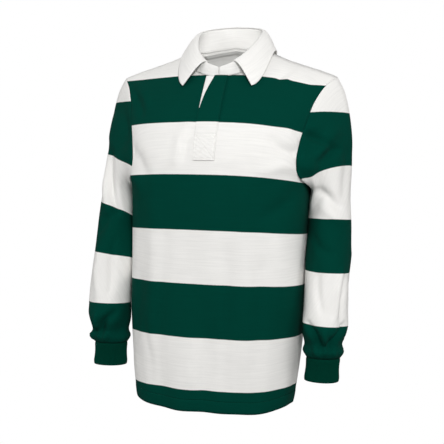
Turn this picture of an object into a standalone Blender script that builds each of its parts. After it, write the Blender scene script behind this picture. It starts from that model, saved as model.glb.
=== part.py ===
# Long-sleeved rugby shirt in heavy cotton jersey, filled out as if it were worn.
# Metres, +Z up, the front faces -Y and the wearer's left is +X. The origin is between the
# shoulders, at the height where they meet the neck, which is where the wearer holds the shirt.

import math
from collections import namedtuple

import bmesh
import bpy
import numpy as np
from mathutils import Vector

for old in list(bpy.data.objects):
    bpy.data.objects.remove(old, do_unlink=True)

# Cloth
JERSEY_WALL = 0.0016
RIB_WALL = 0.0022
COLLAR_WALL = 0.0018
TAPE_WALL = 0.0010
SEAM_GAP = 0.0003

# Body
HEM_Z = -0.745
HEM_RISE = 0.011
ARMPIT_Z = -0.272
TIP_X, TIP_Z = 0.235, -0.052
NECK_X = 0.080
NECK_DROP = {"front": 0.087, "back": 0.010}
SECTION_POWER = 2.6
ARCH_Z = -0.240
ARCH_POWER = {"front": 1.5, "back": 2.6}
FACING = {"front": -1.0, "back": 1.0}

# Panel grids
HALF_COLUMNS = 14
NECK_COLUMNS = 6
LOWER_ROWS = 10
ARMHOLE_STEPS = (0.0, 0.025, 0.06, 0.12, 0.21, 0.33, 0.47, 0.61, 0.74, 0.85, 0.94, 1.0)

BodySection = namedtuple("BodySection", "z half_width half_depth middle_y")
BODY_SECTIONS = (
    BodySection(-0.745, 0.1660, 0.117, -0.030),
    BodySection(-0.660, 0.1755, 0.120, -0.032),
    BodySection(-0.560, 0.1825, 0.123, -0.034),
    BodySection(-0.450, 0.1845, 0.125, -0.036),
    BodySection(-0.360, 0.1865, 0.128, -0.038),
    BodySection(-0.272, 0.1905, 0.131, -0.038),
    BodySection(-0.200, 0.1990, 0.132, -0.034),
    BodySection(-0.120, 0.2220, 0.131, -0.020),
    BodySection(-0.050, 0.2480, 0.128, -0.006),
    BodySection(0.030, 0.2600, 0.125, 0.000),
)

ShoulderPoint = namedtuple("ShoulderPoint", "x z")
SHOULDER_LINE = (
    ShoulderPoint(0.000, 0.030),
    ShoulderPoint(0.045, 0.021),
    ShoulderPoint(0.080, 0.008),
    ShoulderPoint(0.125, -0.0125),
    ShoulderPoint(0.165, -0.0265),
    ShoulderPoint(0.206, -0.0400),
    ShoulderPoint(0.235, -0.052),
    ShoulderPoint(0.262, -0.072),
)

ArmholePoint = namedtuple("ArmholePoint", "rise x")
ARMHOLE = (
    ArmholePoint(0.00, 0.1905),
    ArmholePoint(0.05, 0.1835),
    ArmholePoint(0.15, 0.1790),
    ArmholePoint(0.33, 0.1800),
    ArmholePoint(0.55, 0.1880),
    ArmholePoint(0.78, 0.2030),
    ArmholePoint(0.93, 0.2210),
    ArmholePoint(1.00, 0.2350),
)

# Sleeve sections, level rings from below the armpit to the cuff seam
SleeveSection = namedtuple("SleeveSection", "z middle_x middle_y half_width half_depth")
SLEEVE_SECTIONS = (
    SleeveSection(-0.3000, 0.2320, -0.015, 0.0400, 0.0570),
    SleeveSection(-0.3600, 0.2335, -0.028, 0.0425, 0.0530),
    SleeveSection(-0.4200, 0.2345, -0.042, 0.0440, 0.0500),
    SleeveSection(-0.4800, 0.2340, -0.055, 0.0445, 0.0490),
    SleeveSection(-0.5300, 0.2340, -0.065, 0.0450, 0.0480),
    SleeveSection(-0.5800, 0.2335, -0.071, 0.0450, 0.0470),
    SleeveSection(-0.6020, 0.2320, -0.064, 0.0385, 0.0410),
    SleeveSection(-0.6160, 0.2325, -0.061, 0.0425, 0.0450),
    SleeveSection(-0.6283, 0.2320, -0.060, 0.0350, 0.0380),
)
CAP_ROWS = 7
UNDERARM_GAP = 0.0010
CUFF_SECTIONS = (
    SleeveSection(-0.6286, 0.2320, -0.060, 0.0347, 0.0377),
    SleeveSection(-0.6470, 0.2315, -0.061, 0.0335, 0.0365),
    SleeveSection(-0.6760, 0.2310, -0.062, 0.0357, 0.0387),
)

# Collar, from the centre front round to the centre back. The fold is the top of the stand
# and the start of the leaf; the edge is where the leaf ends, seen from above.
CollarStation = namedtuple("CollarStation", "neck_angle fold_x fold_y fold_z edge_x edge_y")
COLLAR = (
    CollarStation(0, 0.000, -0.0850, -0.041, 0.048, -0.099),
    CollarStation(20, 0.027, -0.0800, -0.030, 0.073, -0.096),
    CollarStation(45, 0.051, -0.0570, -0.006, 0.087, -0.070),
    CollarStation(68, 0.064, -0.0260, 0.021, 0.095, -0.028),
    CollarStation(90, 0.0685, 0.0060, 0.043, 0.097, 0.012),
    CollarStation(118, 0.060, 0.0330, 0.056, 0.084, 0.053),
    CollarStation(148, 0.035, 0.0490, 0.063, 0.050, 0.080),
    CollarStation(180, 0.000, 0.0540, 0.066, 0.000, 0.090),
)
TAPE_COLUMNS = 4
TAPE_TOP = 0.0020
TAPE_GAP = 0.0007
TAPE_HEIGHT = 0.0100
STAND_END = 0.0006
STAND_SEAM_GAP = 0.0007
LEAF_START = 20
LEAF_COLUMNS = 26
LEAF_ROWS = 6
LEAF_LIFT = 0.0035
LEAF_ROLL = 0.0050
FOLD_GAP = 0.0009

# Placket, a covered fly whose outer strip is sewn on the wearer's left
FLY_TOP_Z, FLY_FOOT_Z = -0.0590, -0.2380
FLY_SEWN_X = 0.0190
FLY_EDGE = ((-0.2380, -0.0250), (-0.1300, -0.0255), (-0.1000, -0.0205), (-0.0590, -0.0085))
FLY_WALL = 0.0012
UNDER_FOOT_Z = -0.1300
UNDER_EDGE_X = -0.0272

BUTTON_RADIUS = 0.0055
BUTTON_LIFT = 0.0008
BUTTON_WIDTH = 0.0022
BUTTON_ANGLE = 15


def along(table, knot, value, where):
    """Smooth value of one column of a table, where another column has the given values."""
    knots = np.array([getattr(row, knot) for row in table], dtype=float)
    values = np.array([getattr(row, value) for row in table], dtype=float)
    return smooth_curve(knots, values, where)


def smooth_curve(knots, values, where):
    """Cubic through the points (knots, values), read at where."""
    slopes = np.gradient(values, knots)
    where = np.clip(where, knots[0], knots[-1])
    left = np.clip(np.searchsorted(knots, where, side="right") - 1, 0, len(knots) - 2)
    span = knots[left + 1] - knots[left]
    t = (where - knots[left]) / span
    start, end = values[left], values[left + 1]
    return ((2 * t**3 - 3 * t**2 + 1) * start + (t**3 - 2 * t**2 + t) * span * slopes[left]
            + (3 * t**2 - 2 * t**3) * end + (t**3 - t**2) * span * slopes[left + 1])


def unit(vectors):
    return vectors / np.maximum(np.linalg.norm(vectors, axis=-1, keepdims=True), 1e-12)


def body_point(x, z, side):
    """Point of the body's outer face at x and z, on its front or its back."""
    x, z = np.broadcast_arrays(np.asarray(x, dtype=float), np.asarray(z, dtype=float))
    width = along(BODY_SECTIONS, "z", "half_width", z)
    depth = along(BODY_SECTIONS, "z", "half_depth", z)
    middle = along(BODY_SECTIONS, "z", "middle_y", z)
    shoulder = along(SHOULDER_LINE, "x", "z", np.abs(x))
    power = ARCH_POWER[side]
    climb = np.clip((z - ARCH_Z) / (shoulder - ARCH_Z), 0, 1)
    arch = (1 - climb**power) ** (1 / power)
    across = np.clip(np.abs(x) / width, 0, 1)
    bow = (1 - across**SECTION_POWER) ** (1 / SECTION_POWER)
    return np.stack([x, middle + FACING[side] * depth * bow * arch, z], axis=-1)


def body_outward(x, z, side):
    """Outward direction of the body at x and z."""
    step = 0.002
    across = body_point(x + step, z, side) - body_point(x - step, z, side)
    up = body_point(x, z + step, side) - body_point(x, z - step, side)
    return unit(np.cross(across, up) * -FACING[side])


def body_top(x, y):
    """Height of the body's upper face above a place seen from above."""
    low = np.full(np.shape(x), -0.20)
    high = along(SHOULDER_LINE, "x", "z", np.abs(x))
    for _ in range(30):
        half = (low + high) / 2
        front = body_point(x, half, "front")[..., 1]
        back = body_point(x, half, "back")[..., 1]
        inside = (y > front) & (y < back)
        low, high = np.where(inside, half, low), np.where(inside, high, half)
    return low


def even_fractions():
    """Places across half a section, as fractions of its half width, evenly spaced on the cloth."""
    angle = np.linspace(0, math.pi / 2, 400)
    x = np.sin(angle) ** (2 / SECTION_POWER)
    y = np.cos(angle) ** (2 / SECTION_POWER) * BODY_SECTIONS[4].half_depth / BODY_SECTIONS[4].half_width
    length = np.concatenate([[0], np.cumsum(np.hypot(np.diff(x), np.diff(y)))])
    return np.interp(np.linspace(0, length[-1], HALF_COLUMNS + 1), length, x)


def neckline(angle, side):
    """X and Z of the neckline at angles from the middle (0) to the shoulder seam (90)."""
    x = NECK_X * np.sin(np.radians(angle))
    drop = NECK_DROP[side] * np.abs(np.cos(np.radians(angle)))
    return x, along(SHOULDER_LINE, "x", "z", x) - drop


def panel_half(side):
    """Grid of the wearer's left half of a body panel: rows from the hem up, columns outwards."""
    neck_x, neck_z = neckline(np.linspace(0, 90, NECK_COLUMNS + 1), side)
    seam_x = np.linspace(NECK_X, TIP_X, HALF_COLUMNS - NECK_COLUMNS + 1)[1:]
    top_x = np.concatenate([neck_x, seam_x])
    top_z = np.concatenate([neck_z, along(SHOULDER_LINE, "x", "z", seam_x)])

    fractions = even_fractions()
    rows = []
    hem = HEM_Z + HEM_RISE * fractions**4
    for up in np.linspace(0, 1, LOWER_ROWS + 1)[:-1]:
        z = hem + (ARMPIT_Z - hem) * up
        rows.append(body_point(fractions * along(BODY_SECTIONS, "z", "half_width", z), z, side))
    for rise in ARMHOLE_STEPS:
        z = ARMPIT_Z + (top_z - ARMPIT_Z) * rise
        edge_x = along(ARMHOLE, "rise", "x", rise)
        share = (1 - rise) * fractions + rise * top_x / TIP_X
        rows.append(body_point(edge_x * share, z, side))
    grid = np.array(rows)
    grid[LOWER_ROWS:, -1, :] = armhole_edge(side)
    return grid


def armhole_edge(side):
    """Edge of the armhole from the armpit to the shoulder tip."""
    rise = np.array(ARMHOLE_STEPS)
    x = along(ARMHOLE, "rise", "x", rise)
    z = ARMPIT_Z + (TIP_Z - ARMPIT_Z) * rise
    edge = body_point(x, z, side)
    edge[0, 1] = along(BODY_SECTIONS, "z", "middle_y", ARMPIT_Z)
    edge[-1, 1] = along(BODY_SECTIONS, "z", "middle_y", TIP_Z)
    return edge


def grid_outward(grid, around=False):
    """Direction across a grid at each of its points."""
    if around:
        ring = np.concatenate([grid[:, -2:-1], grid, grid[:, 1:2]], axis=1)
        over = np.gradient(ring, axis=1)[:, 1:-1]
    else:
        over = np.gradient(grid, axis=1)
    up = np.gradient(grid, axis=0)
    return unit(np.cross(over, up))


def trimmed(grid, amount=SEAM_GAP / 2, sides=True, ends=True):
    """The grid with its border drawn in by half a seam gap."""
    out = grid.copy()
    if ends:
        out[0] += unit(grid[1] - grid[0]) * amount
        out[-1] += unit(grid[-2] - grid[-1]) * amount
    if sides:
        out[:, 0] += unit(grid[:, 1] - grid[:, 0]) * amount
        out[:, -1] += unit(grid[:, -2] - grid[:, -1]) * amount
    return out


def mirrored(grid):
    return grid[:, ::-1] * np.array([-1.0, 1.0, 1.0])


shirt = bpy.data.collections.new("rugby_shirt")
bpy.context.scene.collection.children.link(shirt)


def finish(name, colour, roughness):
    material = bpy.data.materials.new(name)
    material.use_nodes = True
    shader = material.node_tree.nodes["Principled BSDF"]
    shader.inputs["Base Color"].default_value = (*colour, 1.0)
    shader.inputs["Roughness"].default_value = roughness
    shader.inputs["Metallic"].default_value = 0.0
    return material


green_jersey = finish("green_jersey", (0.002, 0.070, 0.045), 0.85)
white_jersey = finish("white_jersey", (0.86, 0.85, 0.82), 0.85)
green_rib = finish("green_rib", (0.002, 0.062, 0.040), 0.90)
white_twill = finish("white_twill", (0.88, 0.87, 0.84), 0.80)
white_rubber = finish("white_rubber", (0.85, 0.85, 0.82), 0.55)


def cloth(name, material, outer, inner, around=False):
    """Closed cloth solid between two matching grids; the last column repeats the first on a tube."""
    rows, columns = outer.shape[:2]
    mesh_edit = bmesh.new()
    bmesh.ops.create_grid(mesh_edit, x_segments=columns - 1, y_segments=rows - 1, size=0.5)
    spot = mesh_edit.verts.layers.int.new("spot")
    for vertex in mesh_edit.verts:
        column = round((vertex.co.x + 0.5) * (columns - 1))
        row = round((vertex.co.y + 0.5) * (rows - 1))
        vertex[spot] = row * columns + column
        vertex.co = outer[row, column]
    if around:
        bmesh.ops.remove_doubles(mesh_edit, verts=mesh_edit.verts, dist=1e-6)
    lifted = bmesh.ops.extrude_face_region(mesh_edit, geom=mesh_edit.faces[:], use_keep_orig=True)
    for vertex in lifted["geom"]:
        if isinstance(vertex, bmesh.types.BMVert):
            vertex.co = inner[divmod(vertex[spot], columns)]
    bmesh.ops.recalc_face_normals(mesh_edit, faces=mesh_edit.faces)
    mesh = bpy.data.meshes.new(name)
    mesh_edit.to_mesh(mesh)
    mesh_edit.free()
    mesh.materials.append(material)
    mesh.shade_smooth()
    mesh.set_sharp_from_angle(angle=math.radians(50))
    piece = bpy.data.objects.new(name, mesh)
    shirt.objects.link(piece)
    return piece


# Front and back panels, each in one piece from hem to shoulder
def panel(side):
    left = panel_half(side)
    grid = np.concatenate([mirrored(left)[:, :-1], left], axis=1)
    outward = grid_outward(grid) * -FACING[side]
    seam_columns = NECK_COLUMNS
    middle = HALF_COLUMNS
    outward[:LOWER_ROWS + 1, [0, -1], 1] = 0.0
    outward[-1, :middle - seam_columns + 1, 1] = 0.0
    outward[-1, middle + seam_columns:, 1] = 0.0
    return grid, unit(outward)


# Sleeves: the cap leaves the armhole edge point by point and turns down into level rings
def armhole_loop(grids):
    """Armhole of the wearer's left, from the armpit up the front and down the back, closed."""
    front = grids["front"][LOWER_ROWS:, -1]
    back = grids["back"][LOWER_ROWS:, -1]
    return np.concatenate([front, back[-2::-1]], axis=0)


def ring(section, turn):
    """Level ring of a tube at the given turns, from its inner side round by the front."""
    x = section.middle_x - section.half_width * np.cos(turn)
    y = section.middle_y - section.half_depth * np.sin(turn)
    return np.stack([x, y, np.full_like(x, section.z)], axis=-1)


def sleeve_turns(loop):
    steps = np.linalg.norm(np.diff(loop, axis=0), axis=1)
    share = np.concatenate([[0], np.cumsum(steps)])
    half = len(loop) // 2
    front = share[:half + 1] / share[half]
    back = (share[half:] - share[half]) / (share[-1] - share[half])
    return np.concatenate([front, 1 + back[1:]]) * math.pi


def sleeve_grid(loop):
    turns = sleeve_turns(loop)
    first = ring(SLEEVE_SECTIONS[0], turns)
    reach = np.linalg.norm(first - loop, axis=1, keepdims=True)
    height = ((loop[:, 2] - ARMPIT_Z) / (TIP_Z - ARMPIT_Z))[:, None]
    leaving = unit(np.concatenate([0.50 + 0.10 * height, 0 * height, -1.0 + 0.10 * height], axis=1))
    arriving = unit(ring(SLEEVE_SECTIONS[1], turns) - first)
    rows = []
    for t in np.linspace(0, 1, CAP_ROWS + 1)[:-1]:
        rows.append((2 * t**3 - 3 * t**2 + 1) * loop + (t**3 - 2 * t**2 + t) * reach * leaving
                    + (3 * t**2 - 2 * t**3) * first + (t**3 - t**2) * reach * arriving)
    rows.extend(ring(section, turns) for section in SLEEVE_SECTIONS)
    return np.array(rows), turns


grids, outwards = {}, {}
for side in ("front", "back"):
    grids[side], outwards[side] = panel(side)
sleeve, turns = sleeve_grid(armhole_loop(grids))
sleeve_outward = grid_outward(sleeve, around=True)
if np.mean((sleeve_outward * (sleeve - sleeve.mean(axis=1, keepdims=True))).sum(axis=-1)) < 0:
    sleeve_outward = -sleeve_outward

# Where the sleeve carries on the line of the shoulder the two walls share one direction
body_edge = np.concatenate([outwards["front"][LOWER_ROWS:, -1], outwards["back"][LOWER_ROWS:-1, -1][::-1]])
agreement = (body_edge * sleeve_outward[0]).sum(axis=1, keepdims=True)
shared = np.clip(agreement / 0.3, 0, 1)
sleeve[0] += body_edge * (1 - shared) * UNDERARM_GAP
sleeve_edge = unit(sleeve_outward[0] + shared * body_edge)
body_edge = unit(body_edge + shared * sleeve_outward[0])
sleeve_outward[0] = sleeve_edge
steps = len(ARMHOLE_STEPS)
outwards["front"][LOWER_ROWS:, -1] = body_edge[:steps]
outwards["back"][LOWER_ROWS:, -1] = body_edge[steps - 1:][::-1]
for side in ("front", "back"):
    outwards[side][LOWER_ROWS:, 0] = outwards[side][LOWER_ROWS:, -1] * np.array([-1.0, 1.0, 1.0])
    outer = trimmed(grids[side])
    cloth(side, green_jersey, outer, outer - outwards[side] * JERSEY_WALL)

outer = trimmed(sleeve, sides=False)
inner = outer - sleeve_outward * JERSEY_WALL
cloth("sleeve_left", green_jersey, outer, inner, around=True)
cloth("sleeve_right", green_jersey, mirrored(outer), mirrored(inner), around=True)

# Ribbed cuffs
cuff = np.array([ring(section, turns) for section in CUFF_SECTIONS])
middles = cuff[:, :-1].mean(axis=1, keepdims=True)
cuff_inner = cuff - unit((cuff - middles) * np.array([1.0, 1.0, 0.0])) * RIB_WALL
cloth("cuff_left", green_rib, cuff, cuff_inner, around=True)
cloth("cuff_right", green_rib, mirrored(cuff), mirrored(cuff_inner), around=True)


# Collar
def neck_edge(angle):
    """Edge of the neckline at angles in degrees from the centre front to the centre back."""
    front = body_point(*neckline(angle, "front"), "front")
    back = body_point(*neckline(angle, "back"), "back")
    return np.where((angle < 90)[..., None], front, back)


def collar_line(names, angle):
    """Points of the collar's table at neck angles in degrees."""
    return np.stack([along(COLLAR, "neck_angle", name, angle) for name in names], axis=-1)


def both_sides(start, count):
    """Neck angles round the collar from one front end by the back to the other, and their sides."""
    run = np.linspace(start, 180, count // 2 + 1)
    angle = np.concatenate([run, run[-2::-1]])
    flip = np.ones((len(angle), 3))
    flip[:len(run) - 1, 0] = -1
    return angle, flip


angle, flip = both_sides(0, 4 * NECK_COLUMNS)
base = neck_edge(angle)
fold = collar_line(["fold_x", "fold_y", "fold_z"], angle)
base[[0, -1], 0] = fold[[0, -1], 0] = STAND_END
stand = np.array([base, (base + fold) / 2, fold]) * flip
stand[0] += unit(stand[1] - stand[0]) * STAND_SEAM_GAP
stand[-1] -= unit(stand[2] - stand[1]) * SEAM_GAP
stand_outward = grid_outward(stand)
centre = np.array([0.0, -0.015, 0.0])
if np.mean((stand_outward * (stand - centre)).sum(axis=-1)) < 0:
    stand_outward = -stand_outward
cloth("collar_stand", white_twill, stand, stand - stand_outward * COLLAR_WALL)

angle, flip = both_sides(LEAF_START, LEAF_COLUMNS)
fold = collar_line(["fold_x", "fold_y", "fold_z"], angle)
edge = collar_line(["edge_x", "edge_y"], angle)
edge = np.concatenate([edge, body_top(edge[:, 0], edge[:, 1])[:, None] + LEAF_LIFT], axis=1)
away = unit((edge - fold) * np.array([1.0, 1.0, 0.0]))
rows = []
for t in np.linspace(0, 1, LEAF_ROWS) ** 1.4:
    point = fold + (edge - fold) * t
    point = point + away * LEAF_ROLL * math.sin(math.pi * t**0.5)
    point[:, 2] += LEAF_ROLL * math.sin(math.pi * t**0.5) + FOLD_GAP
    floor = body_top(point[:, 0], point[:, 1]) + LEAF_LIFT
    point[:, 2] = np.maximum(point[:, 2], floor)
    rows.append(point * flip)
leaf = np.array(rows)
leaf_outward = grid_outward(leaf)
if np.mean(leaf_outward[-1, :, 2]) < 0:
    leaf_outward = -leaf_outward
cloth("collar_leaf", white_twill, leaf + leaf_outward * COLLAR_WALL, leaf)


# Placket strips, laid on the front panel's own points
def strip(name, material, left_x, right_x, z, lift, wall, columns):
    across = np.linspace(0, 1, columns)[None, :]
    x = left_x[:, None] * (1 - across) + right_x[:, None] * across
    heights = np.broadcast_to(z[:, None], x.shape)
    points = body_point(x, heights, "front")
    outward = body_outward(x, heights, "front")
    return cloth(name, material, points + outward * (lift + wall), points + outward * lift)


under_z = np.linspace(UNDER_FOOT_Z, FLY_TOP_Z, 8)
strip("placket_under", white_jersey, np.full(8, UNDER_EDGE_X), np.full(8, FLY_SEWN_X - 0.004),
      under_z, SEAM_GAP, FLY_WALL, 6)
fly_z = np.linspace(FLY_FOOT_Z, FLY_TOP_Z, 16)
fly_edge = smooth_curve(np.array([row[0] for row in FLY_EDGE]), np.array([row[1] for row in FLY_EDGE]), fly_z)
strip("placket_fly", green_jersey, fly_edge, np.full(16, FLY_SEWN_X),
      fly_z, 2 * SEAM_GAP + FLY_WALL, FLY_WALL, 7)

# Tape over the neck seam, inside the back
middle = HALF_COLUMNS
span = slice(middle - TAPE_COLUMNS, middle + TAPE_COLUMNS + 1)
lining_face = grids["back"] - outwards["back"] * JERSEY_WALL
row_step = np.linalg.norm(lining_face[-2, span] - lining_face[-1, span], axis=1)[:, None]
rows, directions = [], []
for reach in (TAPE_TOP, TAPE_TOP + TAPE_HEIGHT):
    share = reach / row_step
    directions.append(unit(outwards["back"][-1, span] * (1 - share) + outwards["back"][-2, span] * share))
    rows.append(lining_face[-1, span] * (1 - share) + lining_face[-2, span] * share
                - directions[-1] * TAPE_GAP)
tape, neck_outward = np.array(rows), np.array(directions)
cloth("neck_tape", white_twill, tape, tape - neck_outward * TAPE_WALL)

# Rubber button on the wearer's right end of the stand
low, beside = neck_edge(np.array([BUTTON_ANGLE, BUTTON_ANGLE + 4]))
top = collar_line(["fold_x", "fold_y", "fold_z"], np.array([BUTTON_ANGLE]))[0]
face_out = unit(np.cross(beside - low, top - low))
seat = ((low + top) / 2 + face_out * (BUTTON_LIFT + BUTTON_WIDTH / 2)) * np.array([-1.0, 1.0, 1.0])
face_out = face_out * np.array([-1.0, 1.0, 1.0])
bpy.ops.mesh.primitive_cylinder_add(vertices=24, radius=BUTTON_RADIUS, depth=BUTTON_WIDTH, location=seat)
button = bpy.context.active_object
button.name = "neck_button"
button.rotation_mode = "QUATERNION"
button.rotation_quaternion = Vector(face_out).to_track_quat("Z", "Y")
button.data.materials.append(white_rubber)
button.data.shade_smooth()
button.data.set_sharp_from_angle(angle=math.radians(50))
for holder in list(button.users_collection):
    holder.objects.unlink(button)
shirt.objects.link(button)
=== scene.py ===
import math
from collections import namedtuple

import bmesh
import bpy
import numpy as np
from mathutils import Matrix, Vector


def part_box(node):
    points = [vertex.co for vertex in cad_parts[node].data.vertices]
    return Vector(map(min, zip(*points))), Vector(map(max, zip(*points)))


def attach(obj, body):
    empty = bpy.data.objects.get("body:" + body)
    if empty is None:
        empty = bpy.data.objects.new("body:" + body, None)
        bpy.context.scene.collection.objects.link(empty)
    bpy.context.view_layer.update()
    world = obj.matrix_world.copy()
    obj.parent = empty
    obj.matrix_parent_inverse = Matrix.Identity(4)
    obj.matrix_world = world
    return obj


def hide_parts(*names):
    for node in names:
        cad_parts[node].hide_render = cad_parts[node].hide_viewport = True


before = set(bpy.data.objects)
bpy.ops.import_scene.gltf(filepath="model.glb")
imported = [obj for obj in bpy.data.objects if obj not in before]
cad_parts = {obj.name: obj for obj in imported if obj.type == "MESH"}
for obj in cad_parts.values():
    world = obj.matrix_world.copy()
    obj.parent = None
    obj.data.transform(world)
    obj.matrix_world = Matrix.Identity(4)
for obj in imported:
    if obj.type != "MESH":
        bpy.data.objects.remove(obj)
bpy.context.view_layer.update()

# ----------------------------------------------------------------------------
# Body shape. The front and the back are cut flat and joined at the sides and the shoulders.
# Filled out, they take level sections like rounded oblongs, which arch over to the shoulders.
JERSEY_WALL = 0.0016
HEM_Z, ARMPIT_Z = -0.745, -0.272
HEM_RISE = 0.011
TIP_X, TIP_Z = 0.235, -0.052
NECK_X = 0.080
NECK_DROP = {"front": 0.087, "back": 0.010}
SECTION_POWER = 2.6
ARCH_Z = -0.240
ARCH_POWER = {"front": 1.5, "back": 2.6}
FACING = {"front": -1.0, "back": 1.0}

BodySection = namedtuple("BodySection", "z half_width half_depth middle_y")
BODY_SECTIONS = [BodySection(*row) for row in (
    (-0.745, 0.1660, 0.117, -0.030),
    (-0.660, 0.1755, 0.120, -0.032),
    (-0.560, 0.1825, 0.123, -0.034),
    (-0.450, 0.1845, 0.125, -0.036),
    (-0.360, 0.1865, 0.128, -0.038),
    (-0.272, 0.1905, 0.131, -0.038),
    (-0.200, 0.1990, 0.132, -0.034),
    (-0.120, 0.2220, 0.131, -0.020),
    (-0.050, 0.2480, 0.128, -0.006),
    (0.030, 0.2600, 0.125, 0.000),
)]
ShoulderPoint = namedtuple("ShoulderPoint", "x z")
SHOULDER_LINE = [ShoulderPoint(*row) for row in (
    (0.000, 0.030),
    (0.045, 0.021),
    (0.080, 0.008),
    (0.125, -0.0125),
    (0.165, -0.0265),
    (0.206, -0.0400),
    (0.235, -0.052),
    (0.262, -0.072),
)]
ArmholePoint = namedtuple("ArmholePoint", "rise x")
ARMHOLE = [ArmholePoint(*row) for row in (
    (0.00, 0.1905),
    (0.05, 0.1770),
    (0.15, 0.1730),
    (0.33, 0.1768),
    (0.55, 0.1880),
    (0.78, 0.2030),
    (0.93, 0.2210),
    (1.00, 0.2350),
)]


def smooth_curve(knots, values, where):
    slopes = np.gradient(values, knots)
    where = np.clip(where, knots[0], knots[-1])
    left = np.clip(np.searchsorted(knots, where, side="right") - 1, 0, len(knots) - 2)
    span = knots[left + 1] - knots[left]
    t = (where - knots[left]) / span
    start, end = values[left], values[left + 1]
    return ((2 * t**3 - 3 * t**2 + 1) * start + (t**3 - 2 * t**2 + t) * span * slopes[left]
            + (3 * t**2 - 2 * t**3) * end + (t**3 - t**2) * span * slopes[left + 1])


def along(table, knot, value, where):
    """Smooth value of one column of a table, where another column has the given values."""
    rows = sorted((getattr(row, knot), getattr(row, value)) for row in table)
    knots, values = np.array(rows, dtype=float).T
    return smooth_curve(knots, values, where)


LEVEL = np.array([1.0, 1.0, 0.0])


def unit(vectors):
    return vectors / np.maximum(np.linalg.norm(vectors, axis=-1, keepdims=True), 1e-12)


def body_point(x, z, side):
    x, z = np.broadcast_arrays(np.asarray(x, dtype=float), np.asarray(z, dtype=float))
    width = along(BODY_SECTIONS, "z", "half_width", z)
    depth = along(BODY_SECTIONS, "z", "half_depth", z)
    middle = along(BODY_SECTIONS, "z", "middle_y", z)
    shoulder = along(SHOULDER_LINE, "x", "z", np.abs(x))
    climb = np.clip((z - ARCH_Z) / (shoulder - ARCH_Z), 0, 1)
    arch = (1 - climb ** ARCH_POWER[side]) ** (1 / ARCH_POWER[side])
    across = np.clip(np.abs(x) / width, 0, 1)
    bow = (1 - across**SECTION_POWER) ** (1 / SECTION_POWER)
    return np.stack([x, middle + FACING[side] * depth * bow * arch, z], axis=-1)


def body_outward(x, z, side):
    step = 0.002
    across = body_point(x + step, z, side) - body_point(x - step, z, side)
    up = body_point(x, z + step, side) - body_point(x, z - step, side)
    return unit(np.cross(across, up) * -FACING[side])


def body_top(x, y):
    """Height of the body's upper face above a place seen from above."""
    low = np.full(np.shape(x), -0.20)
    high = along(SHOULDER_LINE, "x", "z", np.abs(x))
    for _ in range(30):
        half = (low + high) / 2
        inside = ((y > body_point(x, half, "front")[..., 1])
                  & (y < body_point(x, half, "back")[..., 1]))
        low, high = np.where(inside, half, low), np.where(inside, high, half)
    return low


# Creases: soft troughs (depth below zero) and ridges, each from one place to another. On the
# body a place is x and z; on a sleeve it is the turn round it, from 0 inside by the front, and z.
CREASE_STRENGTH = 1.9
Crease = namedtuple("Crease", "a_start z_start a_end z_end width height")
FRONT_CREASES = [Crease(*row) for row in (
    (-0.203, -0.085, -0.160, -0.135, 0.009, -0.0030),
    (-0.188, -0.075, -0.150, -0.112, 0.010, 0.0022),
    (-0.176, -0.215, -0.128, -0.262, 0.012, -0.0026),
    (-0.180, -0.245, -0.148, -0.300, 0.013, 0.0030),
    (0.172, -0.222, 0.130, -0.196, 0.009, -0.0042),
    (0.176, -0.248, 0.118, -0.252, 0.013, 0.0030),
    (0.178, -0.200, 0.140, -0.160, 0.010, 0.0024),
    (0.180, -0.290, 0.128, -0.345, 0.014, -0.0028),
    (-0.036, -0.180, -0.050, -0.232, 0.010, -0.0030),
    (-0.046, -0.172, -0.066, -0.236, 0.013, 0.0024),
    (-0.112, -0.290, -0.118, -0.610, 0.020, 0.0026),
    (-0.088, -0.400, -0.092, -0.700, 0.016, -0.0022),
    (-0.128, -0.575, -0.112, -0.690, 0.009, -0.0014),
    (0.012, -0.330, 0.022, -0.560, 0.022, 0.0018),
    (0.046, -0.420, 0.050, -0.690, 0.014, -0.0020),
    (0.082, -0.300, 0.090, -0.620, 0.020, 0.0024),
    (0.120, -0.450, 0.108, -0.705, 0.015, -0.0020),
    (0.150, -0.380, 0.156, -0.520, 0.016, 0.0020),
    (-0.150, -0.480, -0.160, -0.640, 0.014, -0.0022),
    (-0.020, -0.610, -0.012, -0.730, 0.014, 0.0018),
    (0.138, -0.047, 0.120, -0.066, 0.006, -0.0016),
    (0.152, -0.044, 0.136, -0.072, 0.006, 0.0014),
)]
BACK_CREASES = [Crease(*row) for row in (
    (-0.176, -0.225, -0.120, -0.190, 0.012, -0.0034),
    (-0.180, -0.255, -0.110, -0.262, 0.014, 0.0030),
    (0.178, -0.230, 0.126, -0.205, 0.011, -0.0032),
    (0.180, -0.262, 0.112, -0.285, 0.015, 0.0028),
    (0.150, -0.300, 0.060, -0.360, 0.018, -0.0024),
    (-0.150, -0.310, -0.070, -0.390, 0.016, -0.0024),
    (-0.060, -0.120, -0.075, -0.300, 0.022, 0.0020),
    (0.062, -0.110, 0.080, -0.280, 0.020, 0.0018),
    (0.000, -0.360, -0.010, -0.640, 0.020, 0.0024),
    (-0.052, -0.430, -0.048, -0.700, 0.016, -0.0024),
    (0.055, -0.460, 0.062, -0.690, 0.017, -0.0026),
    (-0.108, -0.400, -0.104, -0.620, 0.018, 0.0022),
    (0.112, -0.370, 0.104, -0.600, 0.018, 0.0024),
    (0.148, -0.520, 0.140, -0.700, 0.013, -0.0020),
    (-0.146, -0.540, -0.150, -0.680, 0.014, -0.0022),
    (-0.012, -0.655, 0.010, -0.735, 0.012, 0.0016),
)]


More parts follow.
